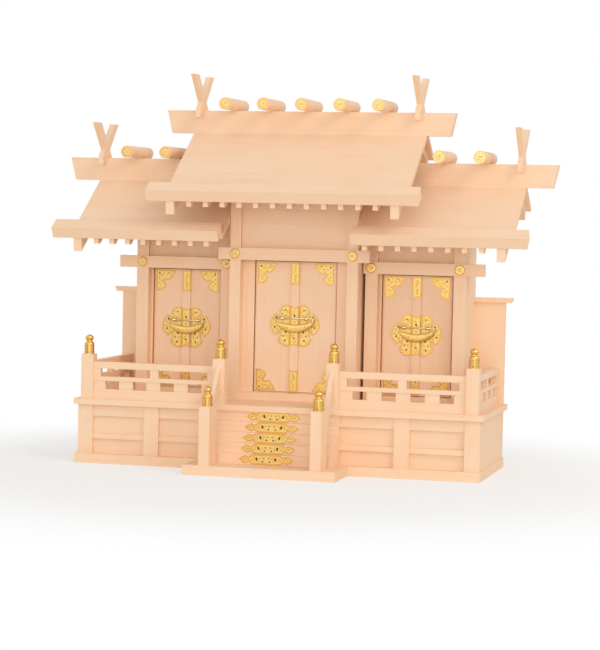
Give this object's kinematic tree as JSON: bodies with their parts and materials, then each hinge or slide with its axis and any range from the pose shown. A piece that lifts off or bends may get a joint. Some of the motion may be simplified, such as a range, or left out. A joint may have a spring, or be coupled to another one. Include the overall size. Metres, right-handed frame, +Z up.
{
  "type": "household shrine",
  "caption": "Plain wood household altar of three joined shrine cabinets with stepped gabled roofs, double doors, a railed veranda and front stairs.",
  "frame": {"origin": "on the floor under the middle of the base's front posts", "axes": "+Z up, front and stairs towards -Y, +X to the viewer's right"},
  "size_m": [0.56, 0.237, 0.4288],
  "materials": {
    "hinoki": "planed, unvarnished",
    "brass": "stamped, polished"
  },
  "bodies": {
    "shrine": {"base_box": "hinoki", "base_posts": "hinoki", "base_rails": "hinoki", "base_slab": "hinoki", "finials": "brass", "floor_board": "hinoki", "front_railings": "hinoki", "left_cabinet": "hinoki", "left_frieze": "hinoki", "left_lintel": "hinoki", "left_posts": "hinoki", "left_sill": "hinoki", "lintel_bosses": "brass", "main_bargeboards": "hinoki", "main_cabinet": "hinoki", "main_eave": "hinoki", "main_frieze": "hinoki", "main_lintel": "hinoki", "main_posts": "hinoki", "main_rafters": "hinoki", "main_ridge": "hinoki", "main_roof": "hinoki", "main_sill": "hinoki", "railing_posts": "hinoki", "ridge_crosses": "hinoki", "ridge_log_caps": "brass", "ridge_logs": "hinoki", "right_cabinet": "hinoki", "right_frieze": "hinoki", "right_lintel": "hinoki", "right_posts": "hinoki", "right_sill": "hinoki", "side_bargeboards": "hinoki", "side_eaves": "hinoki", "side_rafters": "hinoki", "side_railings": "hinoki", "side_ridges": "hinoki", "side_roofs": "hinoki", "side_screens": "hinoki", "stair_handrails": "hinoki", "stair_newels": "hinoki", "stairs": "hinoki"},
    "left_door_left": {"left_door_left": "hinoki"},
    "left_door_right": {"left_door_right": "hinoki"},
    "main_door_left": {"main_door_left": "hinoki"},
    "main_door_right": {"main_door_right": "hinoki"},
    "right_door_left": {"right_door_left": "hinoki"},
    "right_door_right": {"right_door_right": "hinoki"}
  },
  "joints": [
    {"name": "main_left_hinge", "type": "hinge", "parent": "shrine", "child": "main_door_left", "pos_m": [-0.0431, 0.082, 0.1513], "axis": [0, 0, -1], "range_deg": [0, 90]},
    {"name": "main_right_hinge", "type": "hinge", "parent": "shrine", "child": "main_door_right", "pos_m": [0.0431, 0.082, 0.1513], "axis": [0, 0, 1], "range_deg": [0, 90]},
    {"name": "left_left_hinge", "type": "hinge", "parent": "shrine", "child": "left_door_left", "pos_m": [-0.1678, 0.106, 0.1449], "axis": [0, 0, -1], "range_deg": [0, 90]},
    {"name": "left_right_hinge", "type": "hinge", "parent": "shrine", "child": "left_door_right", "pos_m": [-0.0954, 0.106, 0.1449], "axis": [0, 0, 1], "range_deg": [0, 90]},
    {"name": "right_left_hinge", "type": "hinge", "parent": "shrine", "child": "right_door_left", "pos_m": [0.0954, 0.106, 0.1449], "axis": [0, 0, -1], "range_deg": [0, 90]},
    {"name": "right_right_hinge", "type": "hinge", "parent": "shrine", "child": "right_door_right", "pos_m": [0.1678, 0.106, 0.1449], "axis": [0, 0, 1], "range_deg": [0, 90]}
  ],
  "couplings": [
    {"joint": "main_right_hinge", "follows": "main_left_hinge", "ratio": 1},
    {"joint": "left_right_hinge", "follows": "left_left_hinge", "ratio": 1},
    {"joint": "right_right_hinge", "follows": "right_left_hinge", "ratio": 1}
  ]
}
